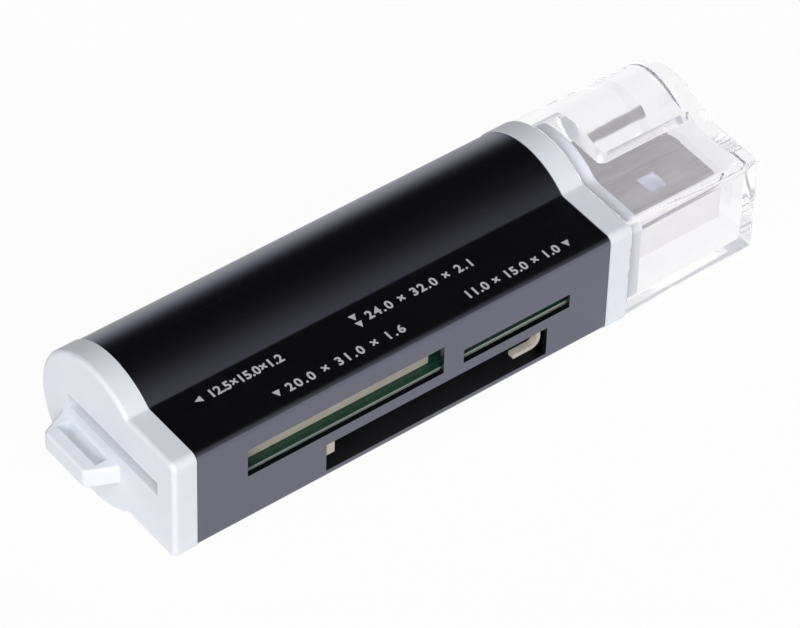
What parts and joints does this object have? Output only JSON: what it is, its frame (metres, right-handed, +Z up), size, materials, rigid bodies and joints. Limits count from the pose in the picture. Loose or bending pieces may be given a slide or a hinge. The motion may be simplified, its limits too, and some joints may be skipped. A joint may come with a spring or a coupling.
{
  "type": "usb memory card reader",
  "caption": "Stick-shaped card reader: black round-backed metal sleeve with card slots along its front, white ends, a lanyard loop and a clear pull-off cap over its plug.",
  "frame": {"origin": "middle of the stick's length and width, on the surface that it rests on", "axes": "+X along the stick towards the plug and clear cap, +Y from the card slots to the round back, +Z up as the reader rests on its barrel and lower front edge"},
  "size_m": [0.068, 0.0206, 0.0155],
  "materials": {
    "anodised_aluminium": "satin black anodised extrusion",
    "white_plastic": "moulded, softly glossy",
    "clear_plastic": "clear, polished",
    "board_laminate": "green solder resist on glass laminate",
    "plug_steel": "nickel plated sheet",
    "insulator_plastic": "moulded",
    "cover_steel": "bright sheet",
    "contact_brass": "gold plated spring strip",
    "chip_epoxy": "moulded epoxy",
    "lead_tin": "tin plated",
    "crystal_steel": "plated can",
    "capacitor_ceramic": "fired ceramic",
    "ivory_plastic": "heat resistant moulding"
  },
  "bodies": {
    "reader": {"capacitors": "capacitor_ceramic", "circuit_board": "board_laminate", "controller_chip": "chip_epoxy", "controller_leads": "lead_tin", "crystal": "crystal_steel", "end_cap": "white_plastic", "end_card_contact_1": "contact_brass", "end_card_contact_10": "contact_brass", "end_card_contact_11": "contact_brass", "end_card_contact_2": "contact_brass", "end_card_contact_3": "contact_brass", "end_card_contact_4": "contact_brass", "end_card_contact_5": "contact_brass", "end_card_contact_6": "contact_brass", "end_card_contact_7": "contact_brass", "end_card_contact_8": "contact_brass", "end_card_contact_9": "contact_brass", "end_card_socket": "ivory_plastic", "front_collar": "white_plastic", "large_card_contact_1": "contact_brass", "large_card_contact_2": "contact_brass", "large_card_contact_3": "contact_brass", "large_card_contact_4": "contact_brass", "large_card_contact_5": "contact_brass", "large_card_contact_6": "contact_brass", "large_card_contact_7": "contact_brass", "large_card_contact_8": "contact_brass", "large_card_contact_9": "contact_brass", "large_card_socket": "ivory_plastic", "large_card_spring": "ivory_plastic", "sleeve": "anodised_aluminium", "small_card_contact_1": "contact_brass", "small_card_contact_2": "contact_brass", "small_card_contact_3": "contact_brass", "small_card_contact_4": "contact_brass", "small_card_contact_5": "contact_brass", "small_card_contact_6": "contact_brass", "small_card_contact_7": "contact_brass", "small_card_contact_8": "contact_brass", "small_card_cover": "cover_steel", "small_card_socket": "ivory_plastic", "stick_card_contact_1": "contact_brass", "stick_card_contact_10": "contact_brass", "stick_card_contact_2": "contact_brass", "stick_card_contact_3": "contact_brass", "stick_card_contact_4": "contact_brass", "stick_card_contact_5": "contact_brass", "stick_card_contact_6": "contact_brass", "stick_card_contact_7": "contact_brass", "stick_card_contact_8": "contact_brass", "stick_card_contact_9": "contact_brass", "stick_card_socket": "ivory_plastic", "usb_contact_1": "contact_brass", "usb_contact_2": "contact_brass", "usb_contact_3": "contact_brass", "usb_contact_4": "contact_brass", "usb_insulator": "insulator_plastic", "usb_shell": "plug_steel"},
    "cap": {"clear_cap": "clear_plastic"}
  },
  "joints": [
    {"name": "cap_pull", "type": "slide", "parent": "reader", "child": "cap", "axis": [1, 0, 0], "range_m": [0, 0.016]}
  ]
}
